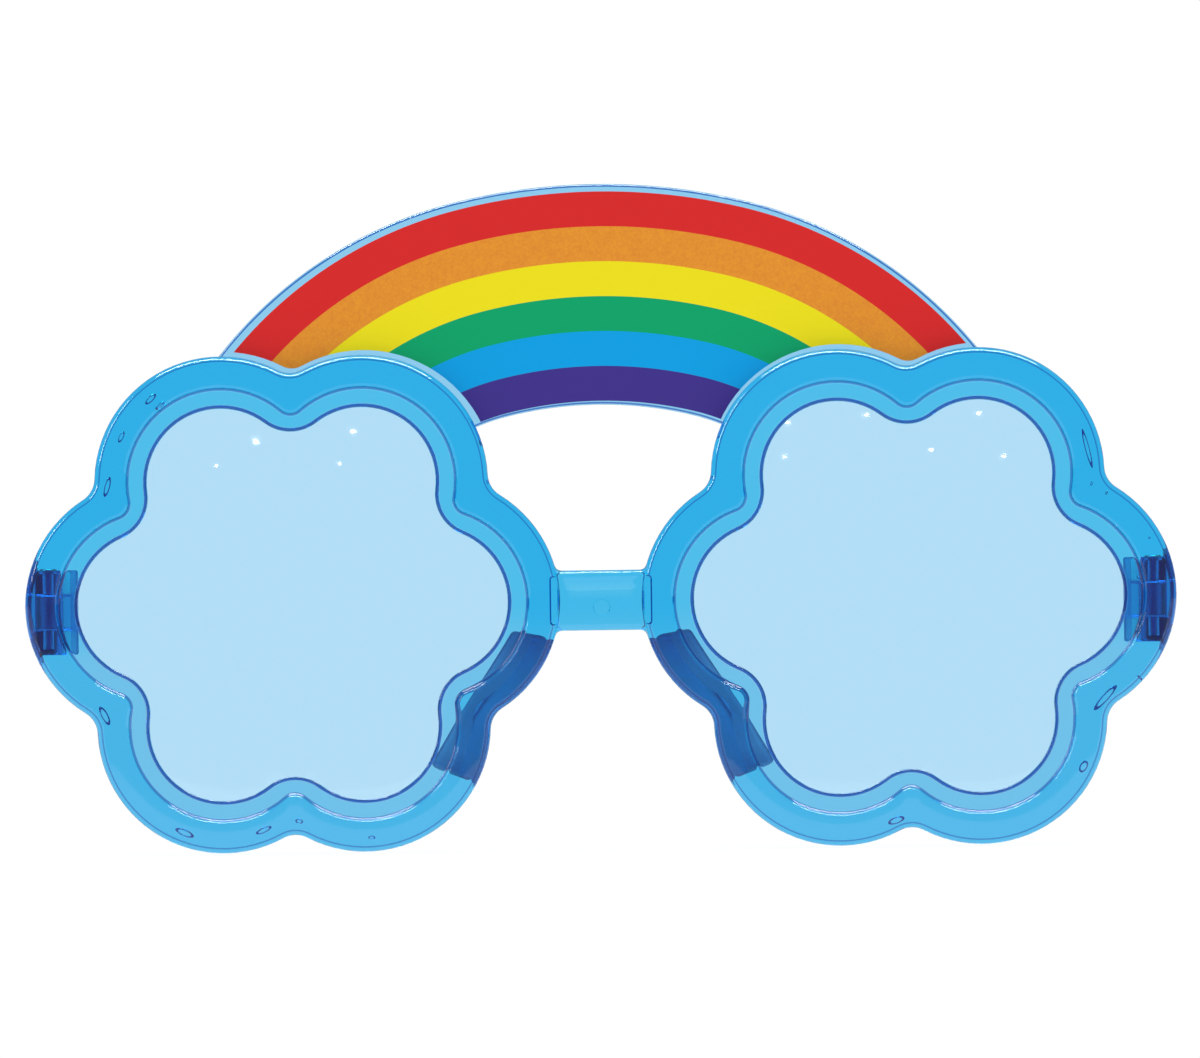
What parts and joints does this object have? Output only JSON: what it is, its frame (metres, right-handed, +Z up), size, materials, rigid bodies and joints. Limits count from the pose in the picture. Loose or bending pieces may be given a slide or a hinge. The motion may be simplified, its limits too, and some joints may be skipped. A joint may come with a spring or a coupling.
{
  "type": "party glasses",
  "caption": "Novelty glasses with two flower-shaped clear blue rims, pale lenses, a rainbow arch plate above the bridge and folding temples.",
  "frame": {"origin": "on the ground under the middle of the whole object, temples open, in both X and Y", "axes": "+Z up, -Y out of the front, the way the wearer looks, +X to the wearer's left, and the temples run back along +Y"},
  "size_m": [0.1606, 0.1478, 0.0927],
  "materials": {
    "clear_blue_frame": "clear moulded gloss",
    "pale_blue_lens": "clear pale tint",
    "white_film": "gloss sticker film",
    "red_ink": "printed",
    "orange_ink": "printed",
    "yellow_ink": "printed",
    "green_ink": "printed",
    "blue_ink": "printed",
    "violet_ink": "printed",
    "screw_steel": "turned"
  },
  "bodies": {
    "front": {"front_frame": "clear_blue_frame", "left_lens": "pale_blue_lens", "right_lens": "pale_blue_lens", "sticker_film": "white_film", "red_stripe": "red_ink", "orange_stripe": "orange_ink", "yellow_stripe": "yellow_ink", "green_stripe": "green_ink", "blue_stripe": "blue_ink", "violet_stripe": "violet_ink", "left_hinge_screw": "screw_steel", "right_hinge_screw": "screw_steel"},
    "left_arm": {"left_temple": "clear_blue_frame"},
    "right_arm": {"right_temple": "clear_blue_frame"}
  },
  "joints": [
    {"name": "left_fold", "type": "hinge", "parent": "front", "child": "left_arm", "pos_m": [0.0772, -0.0601, 0.03386], "axis": [0, 0, 1], "range_deg": [0, 90]},
    {"name": "right_fold", "type": "hinge", "parent": "front", "child": "right_arm", "pos_m": [-0.0772, -0.0601, 0.03386], "axis": [0, 0, -1], "range_deg": [0, 78]}
  ]
}
